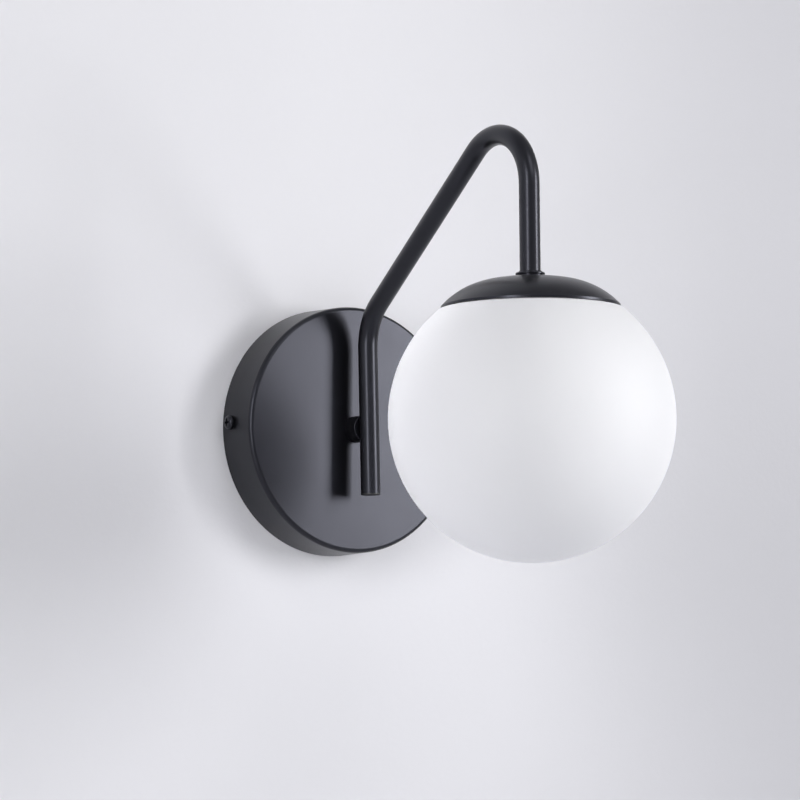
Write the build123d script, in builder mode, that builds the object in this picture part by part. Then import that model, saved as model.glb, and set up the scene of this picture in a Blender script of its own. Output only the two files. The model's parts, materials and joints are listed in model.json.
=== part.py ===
from build123d import *
import math
import os

# Globe wall sconce. A round pan on the wall carries a bent tube on a friction swivel, and the tube's far
# end carries a domed cap, a lampholder with its lamp, and an opal glass globe held by three spring clips.
#
# Frame: the wall is the plane y = 0 and the lamp stands out towards -Y. +Z is up and the origin is the
# middle of the two wall screws. "Depth" is the distance from the wall. All sizes are in millimetres.

# ---- layout ----
globe_reach = 196.0  # depth of the globe's upright axis
arm_standoff = 42.0  # depth of the axis of the arm's rear upright, at the boss
upright_lean = 1.4  # degrees: the upright's foot stands a little further off the wall than its head
cap_rim_height = 51.5  # lower edge of the cap over the globe
arm_foot_height = -38.0  # lower end of the rear upright
lower_bend_height = 60.0  # where the lines of the upright and the slope cross
upper_bend_height = 178.0  # where the lines of the slope and the front drop cross

# ---- clearances ----
moving_gap = 0.3  # between pieces of two bodies
slip_gap = 0.05  # radial gap of a turned fit or a screw in its hole
seat_gap = 0.02  # gap of a pushed-in or seated piece

# ---- canopy: a spun pan ----
canopy_diameter = 141.6  # at the wall
canopy_depth = 28.3
canopy_draft = 0.9  # how much less the radius is at the face than at the wall
canopy_wall = 1.2
canopy_edge_radius = 2.4

# ---- wall bracket: a bent strap with a tab for the terminal block ----
strap_width = 24.0
strap_thickness = 2.0
ear_depth = 15.0
ear_corner_gap = 0.4  # from an ear's corner to the pan's inside
wall_slot_spacing = 80.0
wall_slot_length = 20.0
wall_slot_width = 5.0
cable_hole_diameter = 14.0
tab_margin = 3.0  # metal left round the terminal block
tab_corner_radius = 4.0

# ---- pan-head screws ----
m4_diameter = 4.0
m4_head_diameter = 8.0
m4_head_height = 2.8
m3_diameter = 3.0
m3_head_diameter = 5.4
m3_head_height = 2.2
head_round_share = 0.6  # of the head's height
recess_length_share = 0.56  # of the head's diameter
recess_width_share = 0.15
recess_depth_share = 0.6  # of the head's height
side_screw_length = 8.0
side_screw_depth = 8.5
side_screw_rise = 2.6  # the side screws sit a little above the strap's middle
side_screw_hole_gap = 0.15

# ---- boss and swivel ----
boss_diameter = 15.0
boss_edge_radius = 0.5
collar_length = 4.7
collar_spigot_diameter = 12.6
friction_washer_thickness = 0.5
saddle_depth = 1.6  # how deep the tube lies in the neck
thread_diameter = 10.0  # of the shank and of the tube's lower end
shank_end_depth = 18.5
wire_bore_diameter = 7.0
arm_swing = 90.0  # degrees each way, between the stops
stop_tab_half_angle = 14.0
stop_play = 1.0  # degrees left at each stop
stop_tab_length = 1.6
stop_tab_width = 1.3  # how far the tab stands off the shank
nut_across_flats = 14.0
nut_height = 4.0
nut_bevel = 0.5
swivel_washer_diameter = 19.0
swivel_washer_thickness = 1.0
disc_spring_diameter = 17.0
disc_spring_height = 1.2
disc_spring_thickness = 0.7

# ---- arm ----
tube_diameter = 11.0
tube_wall = 1.5
bend_radius = 30.0
plug_rim = 0.8
plug_edge_radius = 0.3
plug_length = 6.0
stem_length = 16.6  # threaded end below the tube's shoulder

# ---- cap and its ring ----
cap_overhang = 9.0  # of the cap's rim outside the globe's neck
cap_height = 16.6
cap_wall = 1.2
cap_lip = 1.2  # upright band at the rim
cap_crown_radius = 128.0
cap_crown_width = 45.2
ring_diameter = 15.4
ring_thickness = 1.2
ring_foot_diameter = 13.6
ring_foot_height = 0.9
ring_collar_wall = 0.4
ring_collar_height = 0.8
ring_hollow_radius = 0.7
ring_edge_radius = 0.45

# ---- globe ----
globe_diameter = 150.0
glass_thickness = 2.5
shoulder_gap = 0.5  # from the cap's rim down to the glass shoulder
shoulder_margin = 1.1534  # of glass outside the cap's rim, where the ball meets its flat shoulder
neck_diameter = 76.0
neck_height = 4.5
shoulder_round = 3.0
neck_root_round = 1.0
neck_inside_round = 1.6
lip_round = 0.9
gasket_thickness = 1.3
gasket_overhang = 1.2
gasket_skirt = 3.0

# ---- spider and spring clips ----
clip_count = 3
spider_thickness = 1.2
spider_hub_diameter = 28.0
spider_arm_width = 10.0
spider_knee_inset = 4.0  # where a sloping arm turns flat, inside the neck's outer face
clip_thickness = 0.5
clip_width = 8.0
clip_root_gap = 7.0  # from the hub's edge
clip_knee_inset = 6.5  # inside the neck's outer face
clip_nose_drop = 7.0  # nose below the spider's foot
clip_tail = 3.5
clip_bend_radius = 1.2
rivet_gap = 4.5  # from the clip's root
rivet_diameter = 3.0
rivet_head_diameter = 5.0
rivet_head_height = 0.9
tooth_washer_diameter = 18.0
tooth_washer_thickness = 0.8
tooth_count = 12
tooth_slot_width = 1.6
tooth_slot_depth = 2.2

# ---- lampholder for an E27 lamp ----
holder_length = 52.0
holder_diameter = 38.0
holder_mouth_diameter = 35.0
holder_wall = 2.0
holder_gap = 0.3  # seam between the holder's two halves, and above it
holder_boss_diameter = 17.0
holder_boss_height = 6.0
holder_shoulder_height = 5.0
holder_cap_length = 22.0
holder_lip_height = 3.5
holder_lip_wall = 1.4
mouth_lip_height = 2.0
mouth_lip_gap = 1.3  # round the lamp's neck
rib_count = 8
rib_pitch = 2.4
rib_depth = 0.6
insulator_thickness = 8.0
shell_wall = 0.4
shell_clearance = 0.5
shell_length = 22.0
shell_flange = 3.6
terminal_width = 5.0
terminal_height = 5.0
terminal_offset = 8.5  # from the globe's axis
terminal_wire_depth = 3.5
terminal_screw_diameter = 2.5
terminal_head_diameter = 3.8
terminal_head_height = 1.2
contact_thickness = 0.4
contact_width = 5.0
contact_drop = 2.0  # lamp's tip below the insulator
contact_half_length = 8.0

# ---- lamp: a round LED lamp ----
lamp_diameter = 45.0
lamp_length = 78.0
lamp_base_diameter = 26.2
lamp_base_length = 22.0
lamp_base_wall = 0.8
lamp_thread_turns = 5
lamp_thread_depth = 0.9
lamp_insulator_height = 2.7
lamp_insulator_diameter = 19.2
lamp_contact_diameter = 9.4
lamp_contact_height = 0.8
lamp_wall = 1.2
lamp_split_rise = 6.0  # edge of the diffuser above the bulb's centre

# ---- terminal block and leads ----
way_count = 3
way_pitch = 10.0
block_height = 17.0
block_depth = 11.5
block_foot_height = 18.5  # underside of the block above the strap's middle
block_corner_radius = 1.0
block_groove = 1.4
block_groove_depth = 2.0
block_counterbore = 2.5
barrel_diameter = 5.8
barrel_length = 15.0
barrel_bore_diameter = 3.6
barrel_bore_depth = 7.0
clamp_screw_diameter = 2.0
clamp_head_diameter = 3.6
clamp_head_height = 1.6
clamp_head_gap = 0.4  # between the head and the barrel
clamp_slot_width = 0.6
clamp_screw_offset = 4.0
lead_diameter = 1.9
lead_offset = 1.3
lead_entry = 5.5  # how far a lead reaches into a barrel
elbow_radius = 6.0  # where the leads turn up into the tube
earth_screw_offset = 24.0
earth_washer_thickness = 0.8
tag_thickness = 0.8
tag_ring_diameter = 8.4
tag_barrel_diameter = 3.4
tag_barrel_length = 5.6
tag_neck_length = 1.6  # how far the flat neck runs under the barrel
earth_elbow_radius = 3.5

# ---- sizes that follow ----
canopy_radius = canopy_diameter / 2
canopy_inside = canopy_depth - canopy_wall
canopy_taper = canopy_draft / canopy_depth
ear_pan_radius = canopy_radius - canopy_taper * ear_depth - canopy_wall
ear_face = math.sqrt(ear_pan_radius**2 - (strap_width / 2) ** 2) - ear_corner_gap
m4_radius = m4_diameter / 2
m3_radius = m3_diameter / 2
boss_radius = boss_diameter / 2
thread_radius = thread_diameter / 2
wire_bore_radius = wire_bore_diameter / 2
collar_front = canopy_depth + collar_length
stop_tab_radius = thread_radius + stop_tab_width
stop_recess_radius = stop_tab_radius + slip_gap
neck_back = collar_front + friction_washer_thickness
tube_radius = tube_diameter / 2
tube_bore_radius = tube_radius - tube_wall
neck_front = arm_standoff - tube_radius + saddle_depth
swivel_washer_back = canopy_inside - swivel_washer_thickness
disc_spring_back = swivel_washer_back - disc_spring_height
swivel_nut_back = disc_spring_back - nut_height

neck_radius = neck_diameter / 2
cap_radius = neck_radius + cap_overhang
cap_top = cap_rim_height + cap_height
cap_inner_crown = cap_crown_radius - cap_wall
hub_radius = spider_hub_diameter / 2
hub_sag = cap_inner_crown - math.sqrt(cap_inner_crown**2 - hub_radius**2)
spider_top = cap_top - cap_wall - hub_sag - seat_gap
spider_under = spider_top - spider_thickness
cap_nut_top = spider_under - tooth_washer_thickness
cap_nut_under = cap_nut_top - nut_height
stem_end = cap_top - stem_length

globe_radius = globe_diameter / 2
globe_inner_radius = globe_radius - glass_thickness
shoulder_height = cap_rim_height - shoulder_gap
shoulder_radius = cap_radius + shoulder_margin
shoulder_rise = math.sqrt(globe_radius**2 - shoulder_radius**2)
globe_centre_height = shoulder_height - shoulder_rise
neck_top = shoulder_height + neck_height
neck_inner_radius = neck_radius - glass_thickness
foot_under = neck_top + gasket_thickness + moving_gap
clip_root_radius = hub_radius + clip_root_gap
rivet_circle_radius = clip_root_radius + rivet_gap

holder_radius = holder_diameter / 2
holder_top = cap_nut_under - holder_gap
holder_mouth = holder_top - holder_length
holder_split = holder_top - holder_cap_length
holder_bore_radius = holder_radius - holder_wall
lip_radius = holder_bore_radius - slip_gap
skirt_bore_radius = lip_radius - holder_lip_wall
insulator_top = holder_split + holder_lip_height
insulator_under = insulator_top - insulator_thickness
terminal_top = insulator_top + terminal_height

lamp_tip = insulator_under - contact_drop
lamp_base_radius = lamp_base_diameter / 2
lamp_base_top = lamp_tip - lamp_contact_height - lamp_insulator_height
lamp_base_under = lamp_base_top - lamp_base_length
lamp_radius = lamp_diameter / 2
lamp_centre = lamp_tip - lamp_length + lamp_radius
lamp_split = lamp_centre + lamp_split_rise
shell_inner_radius = lamp_base_radius + shell_clearance
shell_outer_radius = shell_inner_radius + shell_wall

block_width = way_count * way_pitch
block_middle = block_foot_height + block_height / 2
block_front = strap_thickness + block_depth
block_screw_offset = way_pitch / 2
barrel_depth = strap_thickness + block_depth / 2
barrel_radius = barrel_diameter / 2
barrel_bore_radius = barrel_bore_diameter / 2
barrel_foot = block_middle - barrel_length / 2
lead_radius = lead_diameter / 2
lead_joint_depth = shank_end_depth - lead_radius
tag_barrel_radius = tag_barrel_diameter / 2
tag_barrel_end = -earth_screw_offset + tag_ring_diameter / 2 + tag_barrel_length
earth_washer_depth = strap_thickness + tag_thickness

lean = math.radians(upright_lean)
knee_depth = arm_standoff - lower_bend_height * math.tan(lean)

wall_axis = Axis((0, 0, 0), (0, -1, 0))
globe_axis = Axis((0, -globe_reach, 0), (0, 0, 1))
way_offsets = [way_pitch * (i - (way_count - 1) / 2) for i in range(way_count)]
clip_angles = [90 + 360 * i / clip_count for i in range(clip_count)]


# ---- planes ----
def at_depth(depth, x=0.0, z=0.0):
    """Plane parallel to the wall at a depth: local x is +X, local y is +Z, extrusions grow off the wall."""
    return Plane(origin=(x, -depth, z), x_dir=(1, 0, 0), z_dir=(0, -1, 0))


def at_height(height, depth=globe_reach):
    """Level plane centred on an upright axis of the arm: extrusions grow upwards."""
    return Plane(origin=(0, -depth, height), x_dir=(1, 0, 0), z_dir=(0, 0, 1))


def across_upright(height):
    """Plane across the leaning rear upright where its axis is at a height: extrusions grow up the tube."""
    depth = arm_standoff - height * math.tan(lean)
    return Plane(origin=(0, -depth, height), x_dir=(1, 0, 0), z_dir=(0, math.sin(lean), math.cos(lean)))


def upright_section(angle=0.0, depth=globe_reach):
    """Upright plane through an upright axis: local x runs outwards at the angle, local y is the height."""
    turn = math.radians(angle)
    outwards = (math.cos(turn), math.sin(turn), 0)
    across = (math.sin(turn), -math.cos(turn), 0)
    return Plane(origin=(0, -depth, 0), x_dir=outwards, z_dir=across)


# ---- shapes used more than once ----
def round_corner(sketch, point, radius):
    """Rounds the sketch's corner nearest to a point."""
    fillet(sketch.vertices().sort_by_distance(Vector(*point))[0], radius)


def turned(outline, section=None, axis=globe_axis):
    """Solid of revolution of a closed outline of (radius, height) points."""
    with BuildPart() as solid:
        with BuildSketch(section or upright_section()):
            with BuildLine():
                Polyline(*outline, close=True)
            make_face()
        revolve(axis=axis)
    return solid


def flat_ring(plane, outer_radius, inner_radius, thickness):
    """Flat ring that grows from a plane along its normal."""
    with BuildPart() as ring:
        with BuildSketch(plane):
            Circle(outer_radius)
            Circle(inner_radius, mode=Mode.SUBTRACT)
        extrude(amount=thickness)
    return ring


def hex_nut(plane):
    """Hexagon nut for the lamp thread, grown from a plane along its normal and bevelled on both faces."""
    with BuildPart() as nut:
        with BuildSketch(plane):
            RegularPolygon(nut_across_flats / 2, 6, major_radius=False)
        extrude(amount=nut_height)
        chamfer(nut.edges().filter_by(Axis(plane.origin, plane.z_dir), reverse=True), nut_bevel)
        with BuildSketch(plane):
            Circle(thread_radius + slip_gap)
        extrude(amount=nut_height, mode=Mode.SUBTRACT)
    return nut


def pan_screws(places, radius, head_diameter, head_height, length):
    """Cross-recessed pan-head screws. A place is the plane under a head, its normal through the head."""
    head_radius = head_diameter / 2
    with BuildPart() as screws:
        for place in places:
            with BuildSketch(Plane(place.origin, x_dir=place.x_dir, z_dir=-place.y_dir)) as profile:
                with BuildLine():
                    Polyline(
                        (0, head_height),
                        (head_radius, head_height),
                        (head_radius, 0),
                        (radius, 0),
                        (radius, -length),
                        (0, -length),
                        close=True,
                    )
                make_face()
                round_corner(profile, (head_radius, head_height), head_round_share * head_height)
            revolve(axis=Axis(place.origin, place.z_dir))
            with BuildSketch(place.offset(head_height)):
                Rectangle(recess_length_share * head_diameter, recess_width_share * head_diameter)
                Rectangle(recess_width_share * head_diameter, recess_length_share * head_diameter)
            extrude(amount=-recess_depth_share * head_height, mode=Mode.SUBTRACT)
    return screws


def lead(points, radii):
    """Insulated wire along straight runs joined by tangent arcs."""
    with BuildPart() as wire:
        with BuildLine() as route:
            FilletPolyline(*points, radius=radii)
        with BuildSketch(Plane(route.line @ 0, z_dir=route.line % 0)):
            Circle(lead_radius)
        sweep()
    return wire


def sector(radius, half_angle):
    """Pie slice that opens upwards from its middle by an angle each way."""
    with BuildSketch() as pie:
        with BuildLine():
            arc = CenterArc((0, 0), radius, 90 - half_angle, 2 * half_angle)
            Polyline(arc @ 1, (0, 0), arc @ 0)
        make_face()
    return pie.sketch


# ---- the pan and its bracket ----
side_screw_spot = (-side_screw_depth, side_screw_rise)

canopy_blank = turned(
    [
        (0, 0),
        (canopy_radius, 0),
        (canopy_radius - canopy_draft, -canopy_depth),
        (0, -canopy_depth),
    ],
    section=Plane.XY,
    axis=wall_axis,
)

with BuildPart() as canopy:
    add(canopy_blank.part)
    fillet(canopy.edges().filter_by(GeomType.CIRCLE).sort_by(Axis.Y)[0], canopy_edge_radius)
    offset(amount=-canopy_wall, openings=canopy.faces().sort_by(Axis.Y)[-1])
    with BuildSketch(at_depth(canopy_inside)):
        Circle(collar_spigot_diameter / 2 + seat_gap)
    extrude(amount=canopy_wall, mode=Mode.SUBTRACT)
    with BuildSketch(Plane.YZ):
        with Locations(side_screw_spot):
            Circle(m4_radius + side_screw_hole_gap)
    extrude(amount=canopy_radius, both=True, mode=Mode.SUBTRACT)

with BuildPart() as wall_bracket:
    with BuildSketch(at_depth(0)) as strap:
        tab_top = block_foot_height + block_height + tab_margin
        with Locations((0, tab_top / 2)):
            Rectangle(block_width + 2 * tab_margin, tab_top)
        fillet(strap.vertices().group_by(Axis.Y)[-1], tab_corner_radius)
        Rectangle(2 * ear_face, strap_width)
        Circle(cable_hole_diameter / 2, mode=Mode.SUBTRACT)
        with GridLocations(wall_slot_spacing, 0, 2, 1):
            SlotOverall(wall_slot_length, wall_slot_width, mode=Mode.SUBTRACT)
        with Locations((-earth_screw_offset, 0)):
            Circle(m4_radius + slip_gap, mode=Mode.SUBTRACT)
        with Locations((block_screw_offset, block_middle)):
            Circle(m3_radius + slip_gap, mode=Mode.SUBTRACT)
    extrude(amount=strap_thickness)
    with BuildSketch(at_depth(strap_thickness)):
        with GridLocations(2 * ear_face - strap_thickness, 0, 2, 1):
            Rectangle(strap_thickness, strap_width)
    extrude(amount=ear_depth - strap_thickness)
    with BuildSketch(Plane.YZ):
        with Locations(side_screw_spot):
            Circle(m4_radius + slip_gap)
    extrude(amount=ear_face, both=True, mode=Mode.SUBTRACT)

# A side screw's head rests on the pan's slightly conical side with its edge nearest to the wall.
head_rest_depth = side_screw_depth - m4_head_diameter / 2
head_seat = canopy_radius - canopy_taper * head_rest_depth + seat_gap
canopy_side_screws = pan_screws(
    [
        Plane((side * head_seat, -side_screw_depth, side_screw_rise), x_dir=(0, 1, 0), z_dir=(side, 0, 0))
        for side in (-1, 1)
    ],
    m4_radius,
    m4_head_diameter,
    m4_head_height,
    side_screw_length,
)

# ---- the boss: a fixed collar and a turning neck, with a friction ring between them ----
stop_recess = sector(stop_recess_radius, arm_swing + stop_tab_half_angle + stop_play)
stop_tab = sector(stop_tab_radius, stop_tab_half_angle)

with BuildPart() as boss_collar:
    with BuildSketch(at_depth(canopy_depth)):
        Circle(boss_radius)
    extrude(amount=collar_length)
    with BuildSketch(at_depth(canopy_inside)):
        Circle(collar_spigot_diameter / 2)
    extrude(amount=canopy_wall)
    with BuildSketch(at_depth(canopy_inside)):
        Circle(thread_radius + slip_gap)
    extrude(amount=canopy_wall + collar_length, mode=Mode.SUBTRACT)
    with BuildSketch(at_depth(collar_front)):
        add(stop_recess)
    extrude(amount=-stop_tab_length - moving_gap, mode=Mode.SUBTRACT)

friction_washer = flat_ring(
    at_depth(collar_front), boss_radius - slip_gap, stop_recess_radius, friction_washer_thickness
)

with BuildPart() as swivel_neck:
    with BuildSketch(at_depth(neck_back)):
        Circle(boss_radius)
    extrude(amount=neck_front - neck_back)
    fillet(swivel_neck.edges().sort_by(Axis.Y)[0], boss_edge_radius)
    with BuildSketch(at_depth(shank_end_depth)):
        Circle(thread_radius)
    extrude(amount=neck_back - shank_end_depth)
    with BuildSketch(at_depth(neck_back)):
        add(stop_tab)
    extrude(amount=-stop_tab_length)
    with BuildSketch(across_upright(0)):
        Circle(tube_radius + seat_gap)
    extrude(amount=boss_diameter, both=True, mode=Mode.SUBTRACT)
    with BuildSketch(at_depth(shank_end_depth)):
        Circle(wire_bore_radius)
    extrude(amount=neck_front - shank_end_depth, mode=Mode.SUBTRACT)

swivel_washer = flat_ring(
    at_depth(swivel_washer_back),
    swivel_washer_diameter / 2,
    thread_radius + slip_gap,
    swivel_washer_thickness,
)

# A disc spring: a shallow cone of sheet, its outer edge on the washer and its inner edge on the nut.
spring_inner = thread_radius + slip_gap
spring_outer = disc_spring_diameter / 2
swivel_disc_spring = turned(
    [
        (spring_inner, -disc_spring_back),
        (spring_inner, -disc_spring_back - disc_spring_thickness),
        (spring_outer, -swivel_washer_back),
        (spring_outer, -swivel_washer_back + disc_spring_thickness),
    ],
    section=Plane.XY,
    axis=wall_axis,
)
swivel_nut = hex_nut(at_depth(swivel_nut_back))

# ---- the arm: one bent tube, plugged at its foot and threaded below its shoulder at the cap ----
with BuildPart() as arm_tube:
    with BuildLine() as arm_line:
        FilletPolyline(
            across_upright(arm_foot_height).offset(plug_rim).origin,
            (0, -knee_depth, lower_bend_height),
            (0, -globe_reach, upper_bend_height),
            (0, -globe_reach, cap_top),
            radius=bend_radius,
        )
    with BuildSketch(Plane(arm_line.line @ 0, z_dir=arm_line.line % 0)):
        Circle(tube_radius)
        Circle(tube_bore_radius, mode=Mode.SUBTRACT)
    sweep()
    with BuildSketch(at_height(stem_end)):
        Circle(thread_radius)
        Circle(tube_bore_radius, mode=Mode.SUBTRACT)
    extrude(amount=stem_length)
    with BuildSketch(at_depth(arm_standoff - tube_radius)):
        Circle(wire_bore_radius)
    extrude(amount=tube_radius, mode=Mode.SUBTRACT)

with BuildPart() as arm_end_plug:
    with BuildSketch(across_upright(arm_foot_height)):
        Circle(tube_radius)
    extrude(amount=plug_rim)
    fillet(arm_end_plug.edges().sort_by(Axis.Z)[0], plug_edge_radius)
    with BuildSketch(across_upright(arm_foot_height).offset(plug_rim)):
        Circle(tube_bore_radius - seat_gap)
    extrude(amount=plug_length)

# ---- the ring and the cap ----
with BuildPart() as cap_ring:
    ring_bore = tube_radius + slip_gap
    ring_under = cap_top + ring_foot_height
    ring_top = ring_under + ring_thickness
    with BuildSketch(upright_section()) as ring_profile:
        with BuildLine():
            Polyline(
                (ring_bore, cap_top),
                (ring_foot_diameter / 2, cap_top),
                (ring_foot_diameter / 2, ring_under),
                (ring_diameter / 2, ring_under),
                (ring_diameter / 2, ring_top),
                (ring_bore + ring_collar_wall, ring_top),
                (ring_bore + ring_collar_wall, ring_top + ring_collar_height),
                (ring_bore, ring_top + ring_collar_height),
                close=True,
            )
        make_face()
        round_corner(ring_profile, (ring_bore + ring_collar_wall, ring_top), ring_hollow_radius)
        round_corner(ring_profile, (ring_diameter / 2, ring_top), ring_edge_radius)
        round_corner(ring_profile, (ring_diameter / 2, ring_under), ring_edge_radius)
    revolve(axis=globe_axis)

with BuildPart() as cap:
    crown_turn = math.degrees(math.asin(cap_crown_width / 2 / cap_crown_radius))
    with BuildSketch(upright_section()):
        with BuildLine():
            crown = CenterArc((0, cap_top - cap_crown_radius), cap_crown_radius, 90, -crown_turn)
            shoulder = TangentArc(crown @ 1, (cap_radius, cap_rim_height + cap_lip), tangent=crown % 1)
            Polyline(shoulder @ 1, (cap_radius, cap_rim_height), (0, cap_rim_height), crown @ 0)
        make_face()
    revolve(axis=globe_axis)
    offset(amount=-cap_wall, openings=cap.faces().sort_by(Axis.Z)[0])
    with BuildSketch(at_height(cap_top)):
        Circle(thread_radius + slip_gap)
    extrude(amount=-2 * cap_wall, mode=Mode.SUBTRACT)

# ---- inside the cap: a three-armed spider with spring clips for the globe ----
foot_middle = foot_under + spider_thickness / 2
arm_start = Vector(hub_radius - spider_thickness, spider_top - spider_thickness / 2)
arm_knee = Vector(neck_radius - spider_knee_inset, foot_middle)
arm_slope = (arm_knee - arm_start).normalized()
arm_normal = Vector(arm_slope.Y, -arm_slope.X)


def along_arm(radius, below=0.0):
    """Point on an arm's middle line at a radius, moved square to the arm towards its underside."""
    share = (radius - arm_start.X) / (arm_knee.X - arm_start.X)
    return arm_start + (arm_knee - arm_start) * share + arm_normal * below


def rivet_place(angle):
    """Plane across a rivet at the middle of an arm's thickness, its normal towards the underside."""
    section = upright_section(angle)
    middle = along_arm(rivet_circle_radius)
    below = middle + arm_normal
    origin = section.from_local_coords((middle.X, middle.Y, 0))
    return Plane(origin, z_dir=section.from_local_coords((below.X, below.Y, 0)) - origin)


with BuildPart() as clip_spider:
    with BuildSketch(at_height(spider_under)):
        Circle(hub_radius)
    extrude(amount=spider_thickness)
    for angle in clip_angles:
        with BuildSketch(upright_section(angle)):
            with BuildLine() as arm_middle:
                Polyline(arm_start, arm_knee, (neck_radius, foot_middle))
            trace(arm_middle.line, line_width=spider_thickness)
        extrude(amount=spider_arm_width / 2, both=True)
        with BuildSketch(rivet_place(angle)):
            Circle(rivet_diameter / 2 + slip_gap)
        extrude(amount=spider_thickness, both=True, mode=Mode.SUBTRACT)
    with BuildSketch(at_height(spider_under)):
        Circle(thread_radius + slip_gap)
    extrude(amount=spider_thickness, mode=Mode.SUBTRACT)

clip_below = (spider_thickness + clip_thickness) / 2 + seat_gap
nose_radius = neck_inner_radius - moving_gap - clip_thickness / 2
nose_height = foot_under - clip_nose_drop

with BuildPart() as spring_clips:
    for angle in clip_angles:
        with BuildSketch(upright_section(angle)):
            with BuildLine() as clip_line:
                FilletPolyline(
                    along_arm(clip_root_radius, clip_below),
                    along_arm(neck_radius - clip_knee_inset, clip_below),
                    Vector(nose_radius, nose_height),
                    Vector(nose_radius - clip_tail / 2, nose_height - clip_tail),
                    radius=clip_bend_radius,
                )
            trace(clip_line.line, line_width=clip_thickness)
        extrude(amount=clip_width / 2, both=True)
        with BuildSketch(rivet_place(angle)):
            Circle(rivet_diameter / 2 + slip_gap)
        extrude(amount=2 * clip_below, mode=Mode.SUBTRACT)

with BuildPart() as clip_rivets:
    upper_side = spider_thickness / 2 + seat_gap
    lower_side = clip_below + clip_thickness / 2 + seat_gap
    for angle in clip_angles:
        place = rivet_place(angle)
        with BuildSketch(place.offset(-upper_side)):
            Circle(rivet_diameter / 2)
        extrude(amount=upper_side + lower_side)
        with BuildSketch(place.offset(lower_side)):
            Circle(rivet_head_diameter / 2)
        extrude(amount=rivet_head_height)
        with BuildSketch(place.offset(-upper_side)):
            Circle(rivet_head_diameter / 2)
        extrude(amount=-rivet_head_height)

with BuildPart() as cap_tooth_washer:
    with BuildSketch(at_height(cap_nut_top)):
        Circle(tooth_washer_diameter / 2)
        Circle(thread_radius + slip_gap, mode=Mode.SUBTRACT)
        with PolarLocations(tooth_washer_diameter / 2, tooth_count):
            Rectangle(2 * tooth_slot_depth, tooth_slot_width, mode=Mode.SUBTRACT)
    extrude(amount=tooth_washer_thickness - seat_gap)

cap_nut = hex_nut(at_height(cap_nut_under))

# ---- the lampholder ----
holder_shoulder = holder_top - holder_boss_height
holder_ceiling = stem_end - holder_gap

with BuildPart() as lampholder_cap:
    with BuildSketch(upright_section()) as holder_profile:
        with BuildLine():
            Polyline(
                (thread_radius + slip_gap, holder_top),
                (holder_boss_diameter / 2, holder_top),
                (holder_boss_diameter / 2, holder_shoulder),
                (holder_radius, holder_shoulder - holder_shoulder_height),
                (holder_radius, holder_split),
                (holder_bore_radius, holder_split),
                (holder_bore_radius, holder_ceiling - holder_wall),
                (holder_boss_diameter / 2 + holder_wall, holder_ceiling),
                (thread_radius + slip_gap, holder_ceiling),
                close=True,
            )
        make_face()
        round_corner(holder_profile, (holder_radius, holder_shoulder - holder_shoulder_height), 2 * holder_wall)
        round_corner(holder_profile, (holder_boss_diameter / 2, holder_shoulder), holder_wall)
        round_corner(holder_profile, (holder_boss_diameter / 2, holder_top), holder_wall / 2)
    revolve(axis=globe_axis)

skirt_top = holder_split - holder_gap
mouth_bore_radius = lamp_base_radius + mouth_lip_gap
skirt_slope = (holder_radius - holder_mouth_diameter / 2) / (skirt_top - holder_mouth)


def skirt_face(height):
    """Radius of the skirt's tapered outside at a height."""
    return holder_mouth_diameter / 2 + skirt_slope * (height - holder_mouth)


rib_outline = []
for i in range(rib_count):
    rib_foot = holder_mouth + (i + 0.5) * rib_pitch
    rib_outline.append((skirt_face(rib_foot), rib_foot))
    rib_outline.append((skirt_face(rib_foot) - rib_depth, rib_foot + rib_pitch / 2))
rib_end = holder_mouth + (rib_count + 0.5) * rib_pitch

lampholder_skirt = turned(
    [
        (mouth_bore_radius, holder_mouth),
        (skirt_face(holder_mouth), holder_mouth),
        *rib_outline,
        (skirt_face(rib_end), rib_end),
        (holder_radius, skirt_top),
        (lip_radius, skirt_top),
        (lip_radius, holder_split + holder_lip_height),
        (skirt_bore_radius, holder_split + holder_lip_height),
        (skirt_bore_radius, holder_mouth + mouth_lip_height),
        (mouth_bore_radius, holder_mouth + mouth_lip_height),
    ]
)

with BuildPart() as lampholder_insulator:
    with BuildSketch(at_height(insulator_under)):
        Circle(skirt_bore_radius - seat_gap)
    extrude(amount=insulator_thickness)
    chamfer(lampholder_insulator.edges().group_by(Axis.Z)[-1], holder_gap)

shell_top = insulator_under
lampholder_shell = turned(
    [
        (shell_outer_radius, shell_top - shell_length),
        (shell_outer_radius, shell_top),
        (shell_outer_radius - shell_flange, shell_top),
        (shell_outer_radius - shell_flange, shell_top - shell_wall),
        (shell_inner_radius, shell_top - shell_wall),
        (shell_inner_radius, shell_top - shell_length),
    ]
)

with BuildPart() as lampholder_contact:
    with BuildSketch(upright_section()):
        with BuildLine() as contact_line:
            leaf_height = insulator_under - contact_thickness / 2
            leaf_dip = lamp_tip + slip_gap + contact_thickness / 2
            Polyline(
                (-contact_half_length, leaf_height),
                (-contact_half_length / 2, leaf_height),
                (-contact_half_length / 4, leaf_dip),
                (contact_half_length / 4, leaf_dip),
                (contact_half_length / 2, leaf_height),
                (contact_half_length, leaf_height),
            )
        trace(contact_line.line, line_width=contact_thickness)
    extrude(amount=contact_width / 2, both=True)

with BuildPart() as lampholder_terminals:
    with BuildSketch(at_height(insulator_top)):
        with GridLocations(2 * terminal_offset, 0, 2, 1):
            Rectangle(terminal_width, terminal_width)
    extrude(amount=terminal_height)
    with BuildSketch(at_height(terminal_top)):
        with GridLocations(2 * terminal_offset, 0, 2, 1):
            Circle(lead_radius + slip_gap)
    extrude(amount=-terminal_wire_depth - slip_gap, mode=Mode.SUBTRACT)
    with BuildSketch(Plane.YZ):
        with Locations((-globe_reach, insulator_top + terminal_height / 2)):
            Circle(terminal_screw_diameter / 2)
    extrude(amount=2 * terminal_offset, both=True, mode=Mode.SUBTRACT)

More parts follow.
